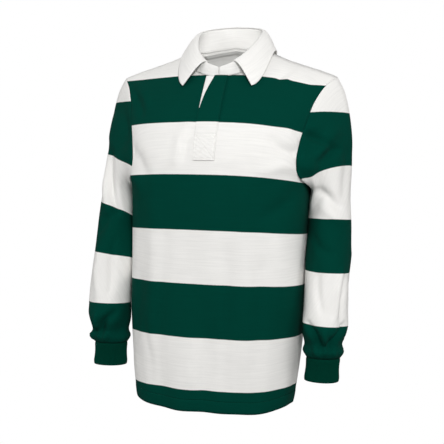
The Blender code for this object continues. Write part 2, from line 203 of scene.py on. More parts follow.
def crease_height(creases, a, z, scale=1.0):
    """Height of all the creases at places (a, z); scale turns a into metres."""
    total = np.zeros(np.broadcast(a, z).shape)
    for c in creases:
        run_a, run_z = (c.a_end - c.a_start) * scale, c.z_end - c.z_start
        length = math.hypot(run_a, run_z)
        off_a, off_z = (a - c.a_start) * scale, z - c.z_start
        t = (off_a * run_a + off_z * run_z) / length**2
        aside = (off_a * run_z - off_z * run_a) / length
        aside = aside + 0.25 * c.width * np.sin(t * 5.0 + c.z_start * 90)
        past = np.maximum(0, np.abs(t - 0.5) - 0.5) * length
        fade = np.clip(1 - np.abs(t - 0.5) * 1.1, 0, 1) ** 0.6
        bell = np.exp(-(aside / c.width) ** 2 - (past / (1.5 * c.width)) ** 2)
        total += CREASE_STRENGTH * c.height * fade * bell
    return total


def body_lift(x, z, side):
    """How far the cloth of a panel stands off its plain form."""
    creases = FRONT_CREASES if side == "front" else BACK_CREASES
    low = np.clip((-0.30 - z) / 0.40, 0, 1)
    wave = np.sin(x * 47 + z * 5 + 0.7) + 0.7 * np.sin(x * 83 - z * 8 + FACING[side])
    hem_wave = np.sin(x * 62 + 1.3 * FACING[side]) * np.clip((-0.66 - z) / 0.085, 0, 1)
    return crease_height(creases, x, z) + 0.0027 * low * wave + 0.0012 * hem_wave


# ----------------------------------------------------------------------------
# Front and back panels, in plain jersey knitted in hoops. Each is one grid from the hem up to
# the neckline and the shoulder seam. The hem is turned up inside and stitched in one row.
HALF_COLUMNS, NECK_COLUMNS = 72, 27
LOWER_ROWS = 96
RISES = np.linspace(0, 1, 56) ** 1.5
HEM_FOLD = 0.024
HEM_RELIEF = 0.0007
SIDE_X = 0.185
# Height of each hoop's upper edge at the wearer's right side seam, the middle and the left one.
HoopEdge = namedtuple("HoopEdge", "right_z middle_z left_z")
BODY_HOOPS = [HoopEdge(*row) for row in (
    (0.048, 0.048, 0.048),
    (-0.060, -0.056, -0.074),
    (-0.164, -0.160, -0.177),
    (-0.270, -0.266, -0.276),
    (-0.379, -0.377, -0.380),
    (-0.485, -0.485, -0.484),
    (-0.595, -0.594, -0.589),
    (-0.703, -0.700, -0.692),
    (-0.815, -0.815, -0.815),
)]


def neckline(angle, side):
    x = NECK_X * np.sin(np.radians(angle))
    drop = NECK_DROP[side] * np.abs(np.cos(np.radians(angle)))
    return x, along(SHOULDER_LINE, "x", "z", x) - drop


def even_fractions():
    """Shares of the half width that lie evenly along a level section's outline."""
    angle = np.linspace(0, math.pi / 2, 2000)
    chest = BODY_SECTIONS[4]
    x = np.sin(angle) ** (2 / SECTION_POWER)
    y = np.cos(angle) ** (2 / SECTION_POWER) * chest.half_depth / chest.half_width
    length = np.concatenate([[0], np.cumsum(np.hypot(np.diff(x), np.diff(y)))])
    return np.interp(np.linspace(0, length[-1], HALF_COLUMNS + 1), length, x)


def panel_half(side):
    """Grid of the wearer's left half of a panel: rows from the hem up, columns outwards."""
    neck_x, neck_z = neckline(np.linspace(0, 90, NECK_COLUMNS + 1), side)
    seam_x = np.linspace(NECK_X, TIP_X, HALF_COLUMNS - NECK_COLUMNS + 1)[1:]
    top_x = np.concatenate([neck_x, seam_x])
    top_z = np.concatenate([neck_z, along(SHOULDER_LINE, "x", "z", seam_x)])
    fractions = even_fractions()
    rows = []
    hem = HEM_Z + HEM_RISE * fractions**4
    for up in np.linspace(0, 1, LOWER_ROWS + 1)[:-1]:
        z = hem + (ARMPIT_Z - hem) * up
        rows.append(body_point(fractions * along(BODY_SECTIONS, "z", "half_width", z), z, side))
    for rise in RISES:
        z = ARMPIT_Z + (top_z - ARMPIT_Z) * rise
        share = (1 - rise) * fractions + rise * top_x / TIP_X
        rows.append(body_point(along(ARMHOLE, "rise", "x", rise) * share, z, side))
    grid = np.array(rows)
    armhole_x = along(ARMHOLE, "rise", "x", RISES)
    edge = body_point(armhole_x, ARMPIT_Z + (TIP_Z - ARMPIT_Z) * RISES, side)
    edge[0, 1] = along(BODY_SECTIONS, "z", "middle_y", ARMPIT_Z)
    edge[-1, 1] = along(BODY_SECTIONS, "z", "middle_y", TIP_Z)
    grid[LOWER_ROWS:, -1] = edge
    return grid


def path_length(points):
    """Length of a path from its start to each of its points."""
    return np.concatenate([[0], np.cumsum(np.linalg.norm(np.diff(points, axis=0), axis=1))])


def grid_outward(grid, around=False):
    if around:
        ring = np.concatenate([grid[:, -2:-1], grid, grid[:, 1:2]], axis=1)
        over = np.gradient(ring, axis=1)[:, 1:-1]
    else:
        over = np.gradient(grid, axis=1)
    return unit(np.cross(over, np.gradient(grid, axis=0)))


def mirrored(grid):
    return grid[:, ::-1] * np.array([-1.0, 1.0, 1.0])


def arc_uv(grid):
    """Cloth coordinates in metres: across from the middle column, and up from the first row."""
    across = np.linalg.norm(np.diff(grid, axis=1), axis=2)
    u = np.concatenate([np.zeros((len(grid), 1)), np.cumsum(across, axis=1)], axis=1)
    u = u - u[:, grid.shape[1] // 2][:, None]
    up = np.linalg.norm(np.diff(grid, axis=0), axis=2)
    v = np.concatenate([np.zeros((1, grid.shape[1])), np.cumsum(up, axis=0)], axis=0)
    return np.stack([u, v], axis=-1)


def count_hoops(z, edges):
    """Running number of the hoop at z, -1 at the first edge given and one more at each next."""
    number = -1.0
    for upper, lower in zip(edges[:-1], edges[1:]):
        number = number + np.clip((upper - z) / (upper - lower), 0, 1)
    return number


def hoop_number(x, z):
    side = np.clip(np.abs(x) / SIDE_X, 0, 1) ** 2.5
    return count_hoops(z, [
        edge.middle_z + side * (np.where(x > 0, edge.left_z, edge.right_z) - edge.middle_z)
        for edge in BODY_HOOPS])


def placed(name, data):
    piece = bpy.data.objects.new(name, data)
    bpy.context.scene.collection.objects.link(piece)
    return piece


def cloth(name, grid, hoops, wall, around=False, uv=None, seam=None):
    """Open sheet on a grid of points, given its wall, with cloth coordinates and hoop numbers.
    seam is the distance of each point from the hem, for the dip along the hem's stitching."""
    rows, columns = grid.shape[:2]
    uv = arc_uv(grid) if uv is None else uv
    sheet = bmesh.new()
    bmesh.ops.create_grid(sheet, x_segments=columns - 1, y_segments=rows - 1, size=0.5)
    uv_layer = sheet.loops.layers.uv.new("cloth")
    hoop_layer = sheet.verts.layers.float.new("hoop")
    seam_layer = sheet.verts.layers.float.new("seam")
    for vertex in sheet.verts:
        column = round((vertex.co.x + 0.5) * (columns - 1))
        row = round((vertex.co.y + 0.5) * (rows - 1))
        for loop in vertex.link_loops:
            loop[uv_layer].uv = uv[row, column]
        vertex[hoop_layer] = hoops[row, column]
        vertex[seam_layer] = 1.0 if seam is None else seam[row, column]
        vertex.co = grid[row, column]
    if around:
        bmesh.ops.remove_doubles(sheet, verts=sheet.verts, dist=1e-6)
    outside = grid_outward(grid, around)
    middle = grid[rows // 2].mean(axis=0)
    if around and ((grid[rows // 2] - middle) * outside[rows // 2]).sum() < 0:
        bmesh.ops.reverse_faces(sheet, faces=sheet.faces)
    mesh = bpy.data.meshes.new(name)
    sheet.to_mesh(mesh)
    sheet.free()
    mesh.shade_smooth()
    piece = placed(name, mesh)
    thickness = piece.modifiers.new("wall", "SOLIDIFY")
    thickness.thickness = wall
    thickness.offset = -1
    return piece


grids, outwards, shaped, hoops, hem_rise = {}, {}, {}, {}, {}
for side in ("front", "back"):
    left = panel_half(side)
    grid = np.concatenate([mirrored(left)[:, :-1], left], axis=1)
    grids[side] = grid
    outward = grid_outward(grid) * -FACING[side]
    outward[:LOWER_ROWS + 1, [0, -1], 1] = 0.0
    outwards[side] = unit(outward)
    lift = body_lift(grid[..., 0], grid[..., 2], side)
    hem_rise[side] = grid[..., 2] - grid[:1, :, 2]
    hem_fold = HEM_RELIEF * (hem_rise[side] < HEM_FOLD) * np.clip(hem_rise[side] / 0.006, 0, 1)
    from_side = np.minimum(np.arange(grid.shape[1]), np.arange(grid.shape[1])[::-1])
    from_top = len(grid) - 1 - np.arange(len(grid))
    calm = np.clip(from_side / 6, 0, 1)[None, :] * np.clip(from_top / 5, 0, 1)[:, None]
    shaped[side] = grid + outwards[side] * (lift * calm + hem_fold)[..., None]
    hoops[side] = hoop_number(grid[..., 0], grid[..., 2])

front = cloth("front_panel", shaped["front"], hoops["front"], JERSEY_WALL, seam=hem_rise["front"])
back = cloth("back_panel", shaped["back"][:, ::-1], hoops["back"][:, ::-1], JERSEY_WALL,
             seam=hem_rise["back"][:, ::-1])
for piece, node in ((front, "front"), (back, "back")):
    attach(piece, "root")
    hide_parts(node)

# Jersey: a fine knit whose wales run up the cloth, brushed matt by washing. The hoops are
# knitted in, so their edges are sharp but follow each course of the knit.
GREEN = (0.0000, 0.0450, 0.0310, 1.0)
WHITE = (0.860, 0.850, 0.825, 1.0)
RIB_GREEN = (0.0000, 0.0360, 0.0225, 1.0)
# The scale at which bands of a wave texture are one metre apart.
WAVE_SCALE = 0.314


def add_node(tree, kind, values=None, **settings):
    """New node. A value that is the output of another node is linked to the input it is for."""
    node = tree.nodes.new("ShaderNode" + kind)
    for key, value in settings.items():
        setattr(node, key, value)
    for key, value in (values or {}).items():
        if isinstance(value, bpy.types.NodeSocket):
            tree.links.new(value, node.inputs[key])
        else:
            node.inputs[key].default_value = value
    return node


def math_node(tree, operation, first, second=0.5, clamp=False):
    return add_node(tree, "Math", {0: first, 1: second}, operation=operation,
                    use_clamp=clamp).outputs[0]


def scaled(tree, value, factor, offset, clamp=False):
    return math_node(tree, "ADD", math_node(tree, "MULTIPLY", value, factor), offset, clamp)


def noise(tree, coordinates, scale, detail, roughness=0.5):
    return add_node(tree, "TexNoise", {"Vector": coordinates, "Scale": scale, "Detail": detail,
                                       "Roughness": roughness}).outputs["Fac"]


def cloth_place(tree):
    return add_node(tree, "UVMap", uv_map="cloth").outputs["UV"]


def cloth_material(name, roughness, sheen):
    material = bpy.data.materials.new(name)
    material.use_nodes = True
    tree = material.node_tree
    shader = tree.nodes["Principled BSDF"]
    shader.inputs["Roughness"].default_value = roughness
    shader.inputs["Specular IOR Level"].default_value = 0.02
    shader.inputs["Sheen Weight"].default_value = sheen
    shader.inputs["Sheen Roughness"].default_value = 0.45
    return material, tree, shader


def seam_dip(tree, line, width):
    """From 0 to 1 near the row of stitching at the given distance from the hem."""
    seam = add_node(tree, "Attribute", attribute_name="seam").outputs["Fac"]
    off = math_node(tree, "ABSOLUTE", math_node(tree, "SUBTRACT", seam, line))
    return math_node(tree, "SUBTRACT", 1.0, math_node(tree, "DIVIDE", off, width), clamp=True)


def knit_bump(tree, shader, coordinates, wale, course, depth, fuzz, dip=None):
    """Bump of a knit with wales and courses of the given widths, and loose fibres over it."""
    bands = []
    for width, distortion, direction in ((wale, 0.6, "X"), (course, 0.8, "Y")):
        bands.append(add_node(
            tree, "TexWave", {"Vector": coordinates, "Scale": WAVE_SCALE / width,
                              "Distortion": distortion, "Detail": 1.0},
            wave_type="BANDS", bands_direction=direction).outputs["Fac"])
    knit = math_node(tree, "MULTIPLY", *bands)
    loose = math_node(tree, "MULTIPLY", noise(tree, coordinates, 1400.0, 3.0), fuzz)
    total = math_node(tree, "ADD", knit, loose)
    bump = add_node(tree, "Bump", {"Strength": 0.55, "Distance": depth, "Height": total})
    if dip is not None:
        groove = add_node(tree, "Bump", {"Strength": 0.9, "Distance": 0.0016, "Height": dip},
                          invert=True)
        tree.links.new(groove.outputs["Normal"], bump.inputs["Normal"])
    tree.links.new(bump.outputs["Normal"], shader.inputs["Normal"])
    return total


def shade_variation(tree, shader, coordinates, colour, amount, knit=None, paler=None):
    """The colour with slow unevenness of dye and wash, and painted shade in the gaps between the
    stitches.
    """
    slow = math_node(tree, "MULTIPLY", noise(tree, coordinates, 16.0, 4.0, 0.6), 0.6)
    flecks = math_node(tree, "MULTIPLY", noise(tree, coordinates, 620.0, 2.0), 0.4)
    level = scaled(tree, math_node(tree, "ADD", slow, flecks), 2 * amount, 1.0 - amount)
    flat = add_node(tree, "Mapping", {"Vector": coordinates, "Scale": (14.0, 330.0, 14.0)})
    streaks = math_node(tree, "SUBTRACT", noise(tree, flat.outputs["Vector"], 1.0, 2.0), 0.5)
    level = math_node(tree, "ADD", level, math_node(tree, "MULTIPLY", streaks, 0.16))
    if paler is not None:
        level = math_node(tree, "MULTIPLY", level, scaled(tree, paler, 0.45, 1.0))
    # The knit's height darkens the hollows between the stitches and ribs: painted shade.
    if knit is not None:
        level = math_node(tree, "MULTIPLY", level, scaled(tree, knit, 0.10, 0.93))
    hue = add_node(tree, "HueSaturation", {"Value": level, "Color": colour})
    tree.links.new(hue.outputs["Color"], shader.inputs["Base Color"])


def hoop_colour(tree, coordinates, white=WHITE, green=GREEN):
    """Green where the hoop number is even and white where it is odd, with a knitted edge."""
    number = add_node(tree, "Attribute", attribute_name="hoop").outputs["Fac"]
    ragged = math_node(tree, "SUBTRACT", noise(tree, coordinates, 700.0, 1.0), 0.5)
    jitter = math_node(tree, "MULTIPLY", ragged, 0.010)
    shifted = math_node(tree, "ADD", math_node(tree, "ADD", number, jitter), 0.5)
    side = math_node(tree, "SUBTRACT", math_node(tree, "PINGPONG", shifted, 1.0), 0.5)
    share = scaled(tree, side, 110.0, 0.5, clamp=True)
    return add_node(tree, "Mix", {"Factor": share, 6: white, 7: green},
                    data_type="RGBA").outputs[2]


def hooped_jersey():
    material, tree, shader = cloth_material("hooped_jersey", 0.88, 0.008)
    place = cloth_place(tree)
    dip = seam_dip(tree, HEM_FOLD, 0.0017)
    knit = knit_bump(tree, shader, place, 0.0013, 0.0010, 0.00035, 0.5, dip)
    shade_variation(tree, shader, place, hoop_colour(tree, place), 0.05, knit, dip)
    return material


def plain_knit(name, roughness, sheen, colour, wale, course, depth, uneven):
    material, tree, shader = cloth_material(name, roughness, sheen)
    place = cloth_place(tree)
    knit = knit_bump(tree, shader, place, wale, course, depth, 0.5)
    shade_variation(tree, shader, place, colour, uneven, knit)
    return material


jersey = hooped_jersey()
front.data.materials.append(jersey)
back.data.materials.append(jersey)

# ----------------------------------------------------------------------------
# Sleeves, in the same hooped jersey, each one piece joined under the arm. They are set into
# the dropped armholes, hang a little forward and fold up in a soft roll above the cuffs.
SleeveSection = namedtuple("SleeveSection", "z middle_x middle_y half_width half_depth")
SLEEVE_SECTIONS = [SleeveSection(*row) for row in (
    (-0.3000, 0.2320, -0.015, 0.0400, 0.0570),
    (-0.3600, 0.2335, -0.028, 0.0425, 0.0530),
    (-0.4200, 0.2345, -0.042, 0.0440, 0.0500),
    (-0.4800, 0.2340, -0.055, 0.0445, 0.0490),
    (-0.5300, 0.2340, -0.065, 0.0450, 0.0480),
    (-0.5800, 0.2335, -0.071, 0.0450, 0.0470),
    (-0.6020, 0.2320, -0.064, 0.0385, 0.0410),
    (-0.6160, 0.2325, -0.061, 0.0425, 0.0450),
    (-0.6283, 0.2320, -0.060, 0.0350, 0.0380),
)]
CAP_ROWS = 46
TUBE_HEIGHTS = np.linspace(-0.3000, -0.6283, 80)
# Height of each hoop's upper edge at the inside of the arm and at the outside.
SleeveHoop = namedtuple("SleeveHoop", "inner_z outer_z")
LEFT_HOOPS = [SleeveHoop(*row) for row in (
    (0.000, 0.010),
    (-0.182, -0.127),
    (-0.300, -0.236),
    (-0.346, -0.348),
    (-0.452, -0.456),
    (-0.554, -0.561),
    (-0.670, -0.670),
)]
RIGHT_HOOPS = [SleeveHoop(*row) for row in (
    (0.010, 0.010),
    (-0.152, -0.106),
    (-0.285, -0.221),
    (-0.372, -0.325),
    (-0.449, -0.434),
    (-0.541, -0.541),
    (-0.645, -0.645),
)]
LEFT_CREASES = [Crease(*row) for row in (
    (0.24, -0.150, 0.66, -0.195, 0.008, -0.0058),
    (0.20, -0.125, 0.60, -0.160, 0.010, 0.0030),
    (0.38, -0.245, 0.78, -0.172, 0.009, 0.0048),
    (0.48, -0.232, 0.74, -0.206, 0.007, -0.0055),
    (0.40, -0.235, 0.20, -0.318, 0.011, 0.0045),
    (0.34, -0.288, 0.68, -0.318, 0.009, -0.0045),
    (0.42, -0.330, 0.80, -0.352, 0.012, 0.0028),
    (0.90, -0.210, 0.78, -0.300, 0.012, -0.0030),
    (0.30, -0.390, 0.56, -0.420, 0.010, -0.0026),
    (0.76, -0.455, 0.69, -0.540, 0.008, 0.0040),
    (0.82, -0.465, 0.78, -0.545, 0.007, -0.0034),
    (0.40, -0.462, 0.47, -0.525, 0.008, -0.0026),
    (0.30, -0.559, 0.52, -0.598, 0.008, -0.0065),
    (0.86, -0.562, 0.62, -0.601, 0.008, -0.0067),
    (0.56, -0.574, 0.58, -0.613, 0.006, 0.0052),
    (0.40, -0.612, 0.50, -0.625, 0.006, 0.0043),
    (0.70, -0.614, 0.76, -0.625, 0.006, 0.0043),
    (1.10, -0.574, 1.36, -0.603, 0.008, -0.0067),
    (1.52, -0.566, 1.80, -0.603, 0.009, -0.0058),
    (1.20, -0.160, 1.66, -0.215, 0.010, -0.0048),
    (1.30, -0.240, 1.62, -0.262, 0.011, 0.0040),
    (1.25, -0.330, 1.60, -0.372, 0.011, -0.0034),
    (1.15, -0.420, 1.24, -0.520, 0.010, 0.0028),
)]
RIGHT_CREASES = [Crease(*row) for row in (
    (0.72, -0.225, 0.42, -0.340, 0.009, -0.0055),
    (0.80, -0.230, 0.56, -0.345, 0.012, 0.0038),
    (0.50, -0.240, 0.34, -0.330, 0.012, 0.0034),
    (0.78, -0.120, 0.52, -0.200, 0.012, -0.0036),
    (0.90, -0.150, 0.70, -0.215, 0.012, 0.0030),
    (0.44, -0.350, 0.70, -0.385, 0.011, -0.0030),
    (0.40, -0.415, 0.41, -0.512, 0.009, -0.0030),
    (0.66, -0.430, 0.60, -0.530, 0.012, 0.0026),
    (0.32, -0.562, 0.56, -0.599, 0.008, -0.0067),
    (0.88, -0.559, 0.66, -0.601, 0.008, -0.0070),
    (0.58, -0.569, 0.61, -0.613, 0.006, 0.0049),
    (0.44, -0.612, 0.52, -0.625, 0.006, 0.0043),
    (0.76, -0.612, 0.80, -0.625, 0.006, 0.0041),
    (1.12, -0.570, 1.34, -0.601, 0.009, -0.0064),
    (1.50, -0.564, 1.78, -0.603, 0.009, -0.0061),
    (1.22, -0.150, 1.62, -0.225, 0.010, -0.0046),
    (1.34, -0.250, 1.66, -0.268, 0.011, 0.0038),
    (1.20, -0.350, 1.52, -0.388, 0.011, -0.0032),
)]
# Cloth round half a sleeve, and how far its inner side leans on the body below the armpit.
TURN_LENGTH = 0.150
SIDE_PUSH = 0.0045


def ring(section, turn):
    x = section.middle_x - section.half_width * np.cos(turn)
    y = section.middle_y - section.half_depth * np.sin(turn)
    return np.stack([x, y, np.full_like(x, section.z)], axis=-1)


def section_at(table, z):
    names = ("middle_x", "middle_y", "half_width", "half_depth")
    return SleeveSection(z, *(along(table, "z", name, z) for name in names))


def sleeve_grid():
    front_edge, back_edge = grids["front"][LOWER_ROWS:, -1], grids["back"][LOWER_ROWS:, -1]
    loop = np.concatenate([front_edge, back_edge[-2::-1]], axis=0)
    length = path_length(loop)
    half = len(loop) // 2
    turns = np.concatenate([
        length[:half + 1] / length[half],
        1 + (length[half + 1:] - length[half]) / (length[-1] - length[half])]) * math.pi
    first = ring(SLEEVE_SECTIONS[0], turns)
    reach = np.linalg.norm(first - loop, axis=1, keepdims=True)
    height = ((loop[:, 2] - ARMPIT_Z) / (TIP_Z - ARMPIT_Z))[:, None]
    leaving = unit(np.hstack([0.50 + 0.10 * height, 0 * height, -1.0 + 0.10 * height]))
    arriving = unit(ring(SLEEVE_SECTIONS[1], turns) - first)
    rows = []
    for t in np.linspace(0, 1, CAP_ROWS + 1)[:-1]:
        rows.append((2 * t**3 - 3 * t**2 + 1) * loop + (t**3 - 2 * t**2 + t) * reach * leaving
                    + (3 * t**2 - 2 * t**3) * first + (t**3 - t**2) * reach * arriving)
    rows.extend(ring(section_at(SLEEVE_SECTIONS, z), turns) for z in TUBE_HEIGHTS)
    return np.array(rows), turns


sleeve, turns = sleeve_grid()
sleeve_out = grid_outward(sleeve, around=True)
if (sleeve_out[-1] * (sleeve[-1] - sleeve[-1].mean(axis=0))).sum() < 0:
    sleeve_out = -sleeve_out
seam_calm = np.clip(np.arange(len(sleeve)) / 7, 0, 1)[:, None] * np.clip(
    (len(sleeve) - 1 - np.arange(len(sleeve))) / 4, 0, 1)[:, None]
side_turn = np.broadcast_to(turns / math.pi, sleeve.shape[:2])
near_body = np.exp(-(np.minimum(side_turn, 2 - side_turn) / 0.16) ** 2)
sleeve_uv = arc_uv(sleeve)
for name, creases, hoop_table in (("left", LEFT_CREASES, LEFT_HOOPS),
                                  ("right", RIGHT_CREASES, RIGHT_HOOPS)):
    z = sleeve[..., 2]
    lift = crease_height(creases, side_turn, z, TURN_LENGTH)
    blouse = np.clip((-0.53 - z) / 0.05, 0, 1) * np.clip((z + 0.627) / 0.02, 0, 1)
    lift = lift + 0.0016 * blouse * np.sin(side_turn * math.pi * 5 + z * 60)
    lift = lift + 0.0010 * np.sin(side_turn * math.pi * 3 + z * 38) * seam_calm
    lift = np.where(lift > 0, lift * (1 - near_body), lift)
    against_side = np.clip((-0.275 - z) / 0.03, 0, 1) * np.clip((z + 0.48) / 0.05, 0, 1)
    lift = lift + SIDE_PUSH * near_body * against_side
    grid = sleeve + sleeve_out * (lift * seam_calm)[..., None]
    outer = ((1 - np.cos(side_turn * math.pi)) / 2) ** 0.35
    sleeve_hoops = count_hoops(z, [edge.inner_z + (edge.outer_z - edge.inner_z) * outer
                                   for edge in hoop_table])
    uv = sleeve_uv
    if name == "right":
        grid, sleeve_hoops, uv = mirrored(grid), sleeve_hoops[:, ::-1], uv[:, ::-1]
    piece = cloth("sleeve_" + name + "_cloth", grid, sleeve_hoops, JERSEY_WALL, around=True, uv=uv)
    piece.data.materials.append(jersey)
    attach(piece, "root")
    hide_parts("sleeve_" + name)

# ----------------------------------------------------------------------------
# Cuffs: two-layer bands of ribbed knit, narrower than the sleeve ends that are gathered on to
# them, open and a little flared at the wrist.
RIB_WALL = 0.0022
RIB_COUNT = 78
RIB_DEPTH = 0.0005
CUFF_ROWS = 20
CUFF_SECTIONS = [SleeveSection(*row) for row in (
    (-0.6284, 0.2320, -0.060, 0.0347, 0.0377),
    (-0.6470, 0.2315, -0.061, 0.0335, 0.0365),
    (-0.6760, 0.2310, -0.062, 0.0357, 0.0387),
)]
rib_turns = np.linspace(0, 2 * math.pi, 6 * RIB_COUNT + 1)
cuff_heights = np.linspace(CUFF_SECTIONS[0].z, CUFF_SECTIONS[-1].z, CUFF_ROWS)
cuff = np.array([ring(section_at(CUFF_SECTIONS, z), rib_turns) for z in cuff_heights])
cuff_out = unit((cuff - cuff.mean(axis=1, keepdims=True)) * LEVEL)
ribs = RIB_DEPTH * np.cos(rib_turns * RIB_COUNT)[None, :]
from_end = np.minimum(np.arange(CUFF_ROWS), np.arange(CUFF_ROWS)[::-1])[:, None]
ends = np.clip(from_end / 3, 0, 1)
soft = 0.0010 * np.sin(rib_turns * 3 + 0.6)[None, :] * np.linspace(0, 1, CUFF_ROWS)[:, None]
cuff = cuff + cuff_out * (ribs * ends - 0.0009 * (1 - ends) ** 2 + soft)[..., None]

rib = plain_knit("green_rib", 0.90, 0.008, RIB_GREEN, 0.0014, 0.0011, 0.00035, 0.07)
for name in ("left", "right"):
    grid = cuff if name == "left" else mirrored(cuff)
    piece = cloth("cuff_" + name + "_rib", grid, np.zeros(grid.shape[:2]), RIB_WALL, around=True)
    piece.data.materials.append(rib)
    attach(piece, "root")
    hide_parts("cuff_" + name)

# ----------------------------------------------------------------------------
# Collar: a stand sewn round the neck and a leaf that folds over it to two points, both in
# white cotton twill with a stiffening inside, edge-stitched.
COLLAR_WALL = 0.0018
LEAF_START = 20
LEAF_LIFT, LEAF_ROLL, FOLD_GAP = 0.0035, 0.0050, 0.0006
CollarStation = namedtuple("CollarStation", "neck_angle fold_x fold_y fold_z edge_x edge_y")
COLLAR = [CollarStation(*row) for row in (
    (0, 0.000, -0.0850, -0.041, 0.048, -0.099),
    (20, 0.027, -0.0800, -0.030, 0.073, -0.096),
    (45, 0.051, -0.0570, -0.006, 0.091, -0.071),
    (68, 0.064, -0.0260, 0.021, 0.099, -0.028),
    (90, 0.0685, 0.0060, 0.043, 0.100, 0.012),
    (118, 0.060, 0.0330, 0.056, 0.084, 0.053),
    (148, 0.035, 0.0490, 0.063, 0.050, 0.080),
    (180, 0.000, 0.0540, 0.066, 0.000, 0.090),
)]
STAND_END = 0.0006
STAND_ROWS, STAND_COLUMNS = 14, 168
LEAF_ROWS, LEAF_COLUMNS = 40, 150


def neck_edge(angle):
    front_edge = body_point(*neckline(angle, "front"), "front")
    back_edge = body_point(*neckline(angle, "back"), "back")
    return np.where((angle < 90)[..., None], front_edge, back_edge)


def collar_line(names, angle):
    return np.stack([along(COLLAR, "neck_angle", name, angle) for name in names], axis=-1)


def both_sides(start, count):
    run = np.linspace(start, 180, count // 2 + 1)
    angle = np.concatenate([run, run[-2::-1]])
    flip = np.ones((len(angle), 3))
    flip[:len(run) - 1, 0] = -1
    return angle, flip


def twill(name, colour, roughness):
    """White woven cotton: fine diagonal ribs crossed by the threads, nearly smooth."""
    material, tree, shader = cloth_material(name, roughness, 0.06)
    uv = cloth_place(tree)
    turned = add_node(tree, "Mapping", {"Vector": uv, "Rotation": (0.0, 0.0, math.radians(58))})
    knit = knit_bump(tree, shader, turned.outputs["Vector"], 0.0010, 0.0007, 0.00022, 0.4)
    shade_variation(tree, shader, uv, colour, 0.03, knit)
    return material


collar_twill = twill("white_twill", (0.885, 0.875, 0.850, 1.0), 0.82)
angle, flip = both_sides(0, STAND_COLUMNS)
base = neck_edge(angle)
fold = collar_line(["fold_x", "fold_y", "fold_z"], angle)
base[[0, -1], 0] = fold[[0, -1], 0] = STAND_END
rise = np.linspace(0.02, 1, STAND_ROWS)[:, None, None]
stand = (base + (fold - base) * rise) * flip
flat_out = unit((stand - np.array([0.0, -0.015, 0.0])) * LEVEL)
stand = stand + flat_out * (np.sin(rise * math.pi) * 0.0008)
stand_piece = cloth("collar_stand_band", stand, np.zeros(stand.shape[:2]), COLLAR_WALL)

angle, flip = both_sides(LEAF_START, LEAF_COLUMNS)
fold = collar_line(["fold_x", "fold_y", "fold_z"], angle)
edge = collar_line(["edge_x", "edge_y"], angle)
edge = np.column_stack([edge, body_top(edge[:, 0], edge[:, 1]) + LEAF_LIFT + COLLAR_WALL])
away = unit((edge - fold) * LEVEL)
rows = []
for t in np.linspace(0, 1, LEAF_ROWS) ** 1.5:
    point = fold + (edge - fold) * t
    roll = LEAF_ROLL * math.sin(math.pi * t**0.5)
    point = point + away * roll
    point[:, 2] += roll + FOLD_GAP
    point[:, 1] -= 0.0015 * t**3 * np.exp(-((angle - LEAF_START) / 7) ** 2)
    floor = body_top(point[:, 0], point[:, 1]) + LEAF_LIFT + COLLAR_WALL
    point[:, 2] = np.maximum(point[:, 2], floor)
    point[:, 2] += 0.0010 * t * np.sin(angle / 180 * math.pi * 5 + flip[:, 0])
    rows.append(point * flip)
leaf = np.array(rows)
leaf_piece = cloth("collar_leaf_fold", leaf[:, ::-1], np.zeros(leaf.shape[:2]), COLLAR_WALL)
for piece, node in ((stand_piece, "collar_stand"), (leaf_piece, "collar_leaf")):
    piece.data.materials.append(collar_twill)
    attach(piece, "root")
    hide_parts(node)

# ----------------------------------------------------------------------------
# Placket: a covered fly. The outer strip is hooped jersey sewn to the wearer's left; a white
# under strip shows as a narrow wedge where the fly pulls open at the neck.
FLY_TOP_Z, FLY_FOOT_Z = -0.0590, -0.2380
FLY_SEWN_X = 0.0190
EdgePoint = namedtuple("EdgePoint", "z x")
FLY_EDGE = [EdgePoint(*row) for row in (
    (-0.2380, -0.0250),
    (-0.1300, -0.0255),
    (-0.1000, -0.0205),
    (-0.0590, -0.0085),
)]
FLY_WALL = 0.0012
FLY_PUFF = 0.0006
FLY_ROWS, UNDER_ROWS = 200, 30
BOX_TOP_Z, BOX_FOOT_Z = -0.1900, -0.2345
BOX_RIGHT_X, BOX_LEFT_X = -0.0225, 0.0165
UNDER_FOOT_Z, UNDER_EDGE_X = -0.1300, -0.0272
UNDER_LIFT = 0.0003
TOP_ROW_GAP = 0.005


def fly_lift(z):
    """Gap under the fly, which lies on the under strip at the top and on the front below it."""
    t = np.clip((z - UNDER_FOOT_Z + 0.030) / 0.030, 0, 1)
    return 0.0004 + 0.0014 * t * t * (3 - 2 * t)


def on_front(x, z, lift):
    """Place on the shaped front panel, lifted off it."""
    return body_point(x, z, "front") + body_outward(x, z, "front") * (
        body_lift(x, z, "front") + lift)[..., None]


def relief(x, z):
    """Grooves that the rows of stitching pull into the lower end of the placket."""
    inside = (x > BOX_RIGHT_X - 0.001) & (x < BOX_LEFT_X + 0.001) & (z < BOX_TOP_Z + 0.007)
    across = (x - BOX_RIGHT_X) / (BOX_LEFT_X - BOX_RIGHT_X)
    up = (z - BOX_FOOT_Z) / (BOX_TOP_Z - BOX_FOOT_Z)
    total = np.zeros(np.broadcast(x, z).shape)
    for line in (z - BOX_TOP_Z, z - BOX_TOP_Z - TOP_ROW_GAP, z - BOX_FOOT_Z,
                 (up - across) * 0.029, (up + across - 1) * 0.029):
        total -= 0.0007 * np.exp(-(line / 0.0011) ** 2) * inside
    for line_x in (BOX_RIGHT_X, BOX_LEFT_X):
        total -= 0.0006 * np.exp(-((x - line_x) / 0.0011) ** 2) * (z < BOX_TOP_Z)
    total -= 0.0005 * np.exp(-((x - BOX_LEFT_X) / 0.0012) ** 2)
    pucker = np.sin(up * 26 + across * 5) * np.sin(across * 12 + up * 7)
    return total + 0.0004 * pucker * (z < BOX_TOP_Z) * (z > BOX_FOOT_Z)


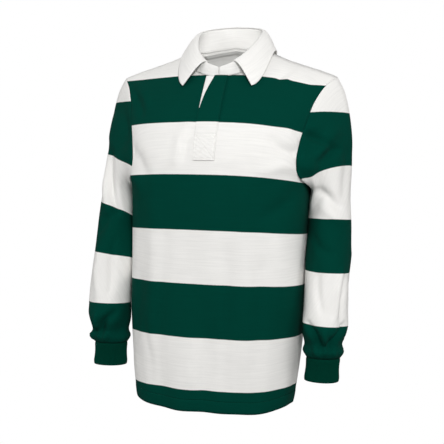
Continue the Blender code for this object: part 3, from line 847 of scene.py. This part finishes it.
def strip(name, first_x, last_x, z, lift, wall, columns):
    across = np.linspace(0, 1, columns)[None, :]
    x = first_x[:, None] * (1 - across) + last_x[:, None] * across
    heights = np.broadcast_to(z[:, None], x.shape)
    puff = FLY_PUFF * np.sin(across * math.pi) * np.ones_like(x)
    return cloth(name, on_front(x, heights, lift + wall + puff + relief(x, heights)),
                 hoop_number(x, heights), wall)


under_z = np.linspace(UNDER_FOOT_Z, FLY_TOP_Z, UNDER_ROWS)
under = strip("placket_under_strip", np.full(UNDER_ROWS, UNDER_EDGE_X),
              np.full(UNDER_ROWS, FLY_SEWN_X - 0.004), under_z, UNDER_LIFT, FLY_WALL, 18)
fly_z = np.linspace(FLY_FOOT_Z, FLY_TOP_Z, FLY_ROWS)
fly = strip("placket_fly_strip", along(FLY_EDGE, "z", "x", fly_z), np.full(FLY_ROWS, FLY_SEWN_X),
            fly_z, fly_lift(fly_z)[:, None], FLY_WALL, 56)
fly.data.materials.append(jersey)
under.data.materials.append(
    plain_knit("white_jersey", 0.88, 0.08, WHITE, 0.0013, 0.0010, 0.0003, 0.04))
for piece, node, slot in ((fly, "placket_fly", "hooped_jersey"),
                          (under, "placket_under", "white_jersey")):
    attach(piece, "root")
    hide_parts(node)

# ----------------------------------------------------------------------------
# Neck tape: a narrow white twill tape sewn over the neck seam, inside the back. It follows the
# back panel's inner face just below the neckline.
TAPE_TOP, TAPE_HEIGHT = 0.0020, 0.0100
TAPE_WALL = 0.0010
TAPE_REACH = 18
tape_columns = slice(HALF_COLUMNS - TAPE_REACH, HALF_COLUMNS + TAPE_REACH + 1)
inner_face = grids["back"] - outwards["back"] * (JERSEY_WALL + 0.0010)
lengths = path_length(inner_face[::-1, HALF_COLUMNS])
tape_grid = []
for depth in np.linspace(TAPE_TOP, TAPE_TOP + TAPE_HEIGHT, 8):
    row = np.interp(depth, lengths, np.arange(len(lengths)))
    lower, share = int(row), row - int(row)
    tape_grid.append(inner_face[-1 - lower, tape_columns] * (1 - share)
                     + inner_face[-2 - lower, tape_columns] * share)
tape_grid = np.array(tape_grid)
tape = cloth("neck_tape_strip", tape_grid, np.zeros(tape_grid.shape[:2]), TAPE_WALL)
tape.data.materials.append(collar_twill)
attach(tape, "root")
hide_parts("neck_tape")

# ----------------------------------------------------------------------------
# Stand button: a small rubber disc with a raised rim and two holes, sewn to the wearer's right
# end of the stand.
ProfilePoint = namedtuple("ProfilePoint", "radius height")
BUTTON_PROFILE = [ProfilePoint(*row) for row in (
    (0.0, 0.0004),
    (0.0028, 0.0004),
    (0.0036, 0.0009),
    (0.0047, 0.0010),
    (0.0055, 0.0004),
    (0.0055, -0.0006),
    (0.0048, -0.0011),
    (0.0, -0.0011),
)]
HOLE_X, HOLE_RADIUS = 0.0011, 0.00055
low_corner, high_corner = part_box("neck_button")
solid_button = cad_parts["neck_button"].data
button_out = max(solid_button.polygons, key=lambda face: face.area).normal.copy()
if button_out.y > 0:
    button_out = -button_out
disc = bmesh.new()
last = None
for radius, height in BUTTON_PROFILE:
    vertex = disc.verts.new((radius, 0.0, height))
    if last:
        disc.edges.new((last, vertex))
    last = vertex
bmesh.ops.spin(disc, geom=disc.verts[:] + disc.edges[:], cent=(0, 0, 0), axis=(0, 0, 1),
               angle=2 * math.pi, steps=40, use_merge=True)
bmesh.ops.remove_doubles(disc, verts=disc.verts, dist=1e-6)
bmesh.ops.recalc_face_normals(disc, faces=disc.faces)
for x in (-HOLE_X, HOLE_X):
    bmesh.ops.create_cone(disc, cap_ends=True, segments=12, radius1=HOLE_RADIUS,
                          radius2=HOLE_RADIUS, depth=0.0004,
                          matrix=Matrix.Translation((x, 0, 0.00045)))
facing = button_out.to_track_quat("Z", "Y").to_matrix().to_4x4()
disc.transform(Matrix.Translation((low_corner + high_corner) / 2) @ facing)
button_mesh = bpy.data.meshes.new("stand_button")
disc.to_mesh(button_mesh)
disc.free()
button_mesh.shade_smooth()
button_mesh.set_sharp_from_angle(angle=math.radians(40))
button = placed("stand_button", button_mesh)
rubber = bpy.data.materials.new("white_rubber")
rubber.use_nodes = True
rubber_shader = rubber.node_tree.nodes["Principled BSDF"]
rubber_shader.inputs["Roughness"].default_value = 0.45
rubber_place = add_node(rubber.node_tree, "TexCoord").outputs["Object"]
shade_variation(rubber.node_tree, rubber_shader, rubber_place, (0.82, 0.81, 0.78, 1.0), 0.03)
button.data.materials.append(rubber)
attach(button, "root")
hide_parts("neck_button")

# ----------------------------------------------------------------------------
# Stitching: thread that sinks a little into the cloth, matched to the colour of the hoop it
# crosses, in rows along the hem, the armholes, the placket, the collar leaf and the stand.
STITCH_LENGTH, STITCH_GAP, THREAD = 0.0027, 0.0009, 0.00030


def thread_material():
    """Twisted cotton thread, lighter where it crosses a white hoop."""
    material, tree, shader = cloth_material("thread", 0.70, 0.05)
    place = add_node(tree, "TexCoord").outputs["Object"]
    twist = add_node(tree, "TexWave", {"Vector": place, "Scale": 700.0, "Distortion": 1.0},
                     wave_type="BANDS", bands_direction="DIAGONAL").outputs["Fac"]
    bump = add_node(tree, "Bump", {"Strength": 0.5, "Distance": 0.0001, "Height": twist})
    tree.links.new(bump.outputs["Normal"], shader.inputs["Normal"])
    colour = hoop_colour(tree, place, (0.80, 0.79, 0.76, 1.0), (0.0, 0.052, 0.034, 1.0))
    shade_variation(tree, shader, place, colour, 0.05)
    return material


thread = thread_material()
capsule = bmesh.new()
bmesh.ops.create_uvsphere(capsule, u_segments=6, v_segments=4, radius=1.0)
capsule_points = np.array([vertex.co[:] for vertex in capsule.verts])
capsule_faces = [[vertex.index for vertex in face.verts] for face in capsule.faces]
capsule.free()


def stitch_run(path, outward, hoops):
    """Middles, directions, outwards and hoop numbers of the stitches along a path of points."""
    length = path_length(path)
    count = max(1, int(length[-1] / (STITCH_LENGTH + STITCH_GAP)))
    middles = (np.arange(count) + 0.5) * length[-1] / count
    half = STITCH_LENGTH / 2

    def at(where, values):
        return np.stack([np.interp(where, length, column) for column in values.T], axis=-1)

    start, end = at(middles - half, path), at(middles + half, path)
    out, number = unit(at(middles, outward)), np.interp(middles, length, hoops)
    return (start + end) / 2, end - start, out, number


def stitches(name, node, runs):
    """One piece of thread along several runs of (path, outward, hoop numbers)."""
    points, faces, numbers = [], [], []
    for path, outward, hoops in runs:
        hoops = np.broadcast_to(np.asarray(hoops, dtype=float), (len(path),))
        for middle, along_run, out, hoop in zip(*stitch_run(path, outward, hoops)):
            ahead = unit(along_run)
            body = (capsule_points[:, :1] * np.cross(out, ahead) * THREAD
                    + capsule_points[:, 1:2] * out * THREAD
                    + capsule_points[:, 2:3] * along_run / 2)
            first = len(points) * len(capsule_points)
            faces.extend([first + corner for corner in face] for face in capsule_faces)
            points.append(middle + out * THREAD * 0.35 + body)
            numbers.extend([hoop] * len(capsule_points))
    mesh = bpy.data.meshes.new(name)
    mesh.from_pydata(np.concatenate(points).tolist(), [], faces)
    mesh.attributes.new("hoop", "FLOAT", "POINT").data.foreach_set("value", numbers)
    mesh.shade_smooth()
    mesh.materials.append(thread)
    piece = placed(name, mesh)
    turned = bmesh.new()
    turned.from_mesh(mesh)
    bmesh.ops.recalc_face_normals(turned, faces=turned.faces)
    turned.to_mesh(mesh)
    turned.free()
    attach(piece, "root")
    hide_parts(node)


def grid_line(grid, outward, hoops, rows, columns):
    """Path over a grid at fractional rows and columns, with its outwards and hoop numbers."""
    rows, columns = np.broadcast_arrays(np.asarray(rows, float), np.asarray(columns, float))
    low_row = np.clip(rows.astype(int), 0, grid.shape[0] - 2)
    low_column = np.clip(columns.astype(int), 0, grid.shape[1] - 2)
    up, over = (rows - low_row)[:, None], (columns - low_column)[:, None]

    def blend(values):
        lower = values[low_row, low_column] * (1 - up) + values[low_row + 1, low_column] * up
        upper = (values[low_row, low_column + 1] * (1 - up)
                 + values[low_row + 1, low_column + 1] * up)
        return lower * (1 - over) + upper * over

    return blend(grid), unit(blend(outward)), blend(hoops[..., None])[:, 0]


def rows_at(distances, wanted):
    """Fractional row in each column where the distance grows to the wanted one."""
    rows = np.arange(len(distances))
    return np.array([np.interp(wanted, column, rows) for column in distances.T])


panel_runs = {}
for side in ("front", "back"):
    panel = (shaped[side], outwards[side], hoops[side])
    above_hem = shaped[side][..., 2] - shaped[side][:1, :, 2]
    runs = [grid_line(*panel, rows_at(above_hem, HEM_FOLD)[1:-1], np.arange(1, 2 * HALF_COLUMNS))]
    seam_rows = np.arange(LOWER_ROWS + 2, LOWER_ROWS + len(RISES) - 2)
    for column in (2.2, 2 * HALF_COLUMNS - 2.2):
        runs.append(grid_line(*panel, seam_rows, column))
    panel_runs[side] = runs
stitches("back_stitching", "back", panel_runs["back"])
stitches("front_stitching", "front", panel_runs["front"])


def on_fly_line(xs, zs, count=60):
    x, z = np.linspace(*xs, count), np.linspace(*zs, count)
    across = (x + 0.024) / 0.043
    lift = fly_lift(z) + FLY_WALL + FLY_PUFF * np.sin(across * math.pi) + relief(x, z)
    return on_front(x, z, lift), body_outward(x, z, "front"), hoop_number(x, z)


box_across = (BOX_RIGHT_X, BOX_LEFT_X)
top_row_z = BOX_TOP_Z + TOP_ROW_GAP
stitches("placket_stitching", "placket_fly", [
    on_fly_line((BOX_LEFT_X, BOX_LEFT_X), (BOX_TOP_Z, FLY_TOP_Z - 0.002), 90),
    on_fly_line(box_across, (BOX_TOP_Z, BOX_TOP_Z)),
    on_fly_line(box_across, (top_row_z, top_row_z)),
    on_fly_line(box_across, (BOX_FOOT_Z, BOX_FOOT_Z)),
    on_fly_line((BOX_RIGHT_X, BOX_RIGHT_X), (BOX_FOOT_Z, BOX_TOP_Z)),
    on_fly_line((BOX_LEFT_X, BOX_LEFT_X), (BOX_FOOT_Z, BOX_TOP_Z)),
    on_fly_line(box_across, (BOX_FOOT_Z, BOX_TOP_Z)),
    on_fly_line(box_across, (BOX_TOP_Z, BOX_FOOT_Z)),
])

# Rows along the leaf's lower edge and its two front edges.
LEAF_MARGIN = 0.0050
leaf_out = grid_outward(leaf)
if leaf_out[len(leaf) // 2, :, 2].sum() < 0:
    leaf_out = -leaf_out
twill_hoops = np.ones(leaf.shape[:2])
from_edge = np.array([path_length(leaf[::-1, c])[::-1] for c in range(leaf.shape[1])]).T
leaf_rows = rows_at(-from_edge, -LEAF_MARGIN)
columns = np.linspace(1.0, leaf.shape[1] - 2.0, 400)
rows = np.interp(columns, np.arange(leaf.shape[1]), leaf_rows)
leaf_runs = [grid_line(leaf, leaf_out, twill_hoops, rows, columns)]
for column in (2, leaf.shape[1] - 3):
    rows = np.linspace(4, leaf_rows[column], 60)
    leaf_runs.append(grid_line(leaf, leaf_out, twill_hoops, rows, column))
stitches("collar_stitching", "collar_leaf", leaf_runs)

# A row along the foot of the stand, and the buttonhole on its wearer's left end.
stand_out = grid_outward(stand)
if (stand_out * flat_out).sum() < 0:
    stand_out = -stand_out
twill_hoops = np.ones(stand.shape[:2])
columns = np.linspace(0.5, stand.shape[1] - 1.5, 400)
stand_runs = [grid_line(stand, stand_out, twill_hoops, 1.0, columns)]
hole = np.linspace(stand.shape[1] - 12.5, stand.shape[1] - 7.5, 60)
for row in (6.5, 6.9, 7.7, 8.1):
    stand_runs.append(grid_line(stand, stand_out, twill_hoops, row, hole))
stitches("stand_stitching", "collar_stand", stand_runs)

# ----------------------------------------------------------------------------
# Studio: a pale floor far below and an even white surround. A large soft light stands in front
# on the wearer's left, with weaker ones on the other side, above, beside and behind, and a very
# small one inside the neck.
AIM = Vector((-0.006, -0.002, -0.363))
CAMERA_AZIMUTH, CAMERA_RISE, CAMERA_ROLL = math.radians(15), math.radians(1.44), math.radians(1.7)
CAMERA_DISTANCE, CAMERA_LENS = 1.90, 71.0
FLOOR_Z = -1.35

bpy.ops.mesh.primitive_plane_add(size=60, location=(0, 0, FLOOR_Z))
floor = bpy.context.active_object
floor.name = "floor"


def even_glow(tree, seen, cast, output, socket, kind):
    """A white glow that looks `seen` bright to the camera and lights the shirt `cast` strongly."""
    ray = add_node(tree, "LightPath").outputs["Is Camera Ray"]
    glow = add_node(tree, kind, {"Color": (1.0, 1.0, 1.0, 1.0),
                                 "Strength": scaled(tree, ray, seen - cast, cast)})
    tree.links.new(glow.outputs[0], tree.nodes[output].inputs[socket])


floor_material = bpy.data.materials.new("pale_floor")
floor_material.use_nodes = True
even_glow(floor_material.node_tree, 1.0, 0.34, "Material Output", "Surface", "Emission")
floor.data.materials.append(floor_material)

world = bpy.data.worlds.new("surround")
bpy.context.scene.world = world
world.use_nodes = True
even_glow(world.node_tree, 1.0, 0.31, "World Output", "Surface", "Background")


def soft_light(name, place, size, power, aim=AIM):
    data = bpy.data.lights.new(name, "AREA")
    data.shape = "DISK"
    data.size = size
    data.energy = power
    lamp = placed(name, data)
    lamp.location = place
    lamp.rotation_euler = (aim - Vector(place)).to_track_quat("-Z", "Y").to_euler()


soft_light("key", (1.35, -3.2, 1.15), 1.0, 84)
soft_light("fill", (-2.4, -1.8, 0.4), 1.6, 24)
soft_light("top", (0.3, -0.9, 2.0), 0.8, 3)
soft_light("side", (2.7, -0.8, 0.6), 0.9, 11)
soft_light("back", (-1.4, 2.8, 1.3), 1.4, 48)
soft_light("inside_neck", (0.0, -0.045, -0.150), 0.06, 0.075, Vector((0.0, 0.060, -0.010)))

camera_data = bpy.data.cameras.new("camera")
camera_data.lens = CAMERA_LENS
camera_data.sensor_width = 36.0
camera = placed("camera", camera_data)
toward = Vector((math.sin(CAMERA_AZIMUTH) * math.cos(CAMERA_RISE),
                 -math.cos(CAMERA_AZIMUTH) * math.cos(CAMERA_RISE), math.sin(CAMERA_RISE)))
camera.location = AIM + toward * CAMERA_DISTANCE
level = toward.to_track_quat("Z", "Y").to_matrix().to_4x4()
camera.rotation_euler = (level @ Matrix.Rotation(CAMERA_ROLL, 4, "Z")).to_euler()
bpy.context.scene.camera = camera
bpy.context.scene.view_settings.view_transform = "Standard"
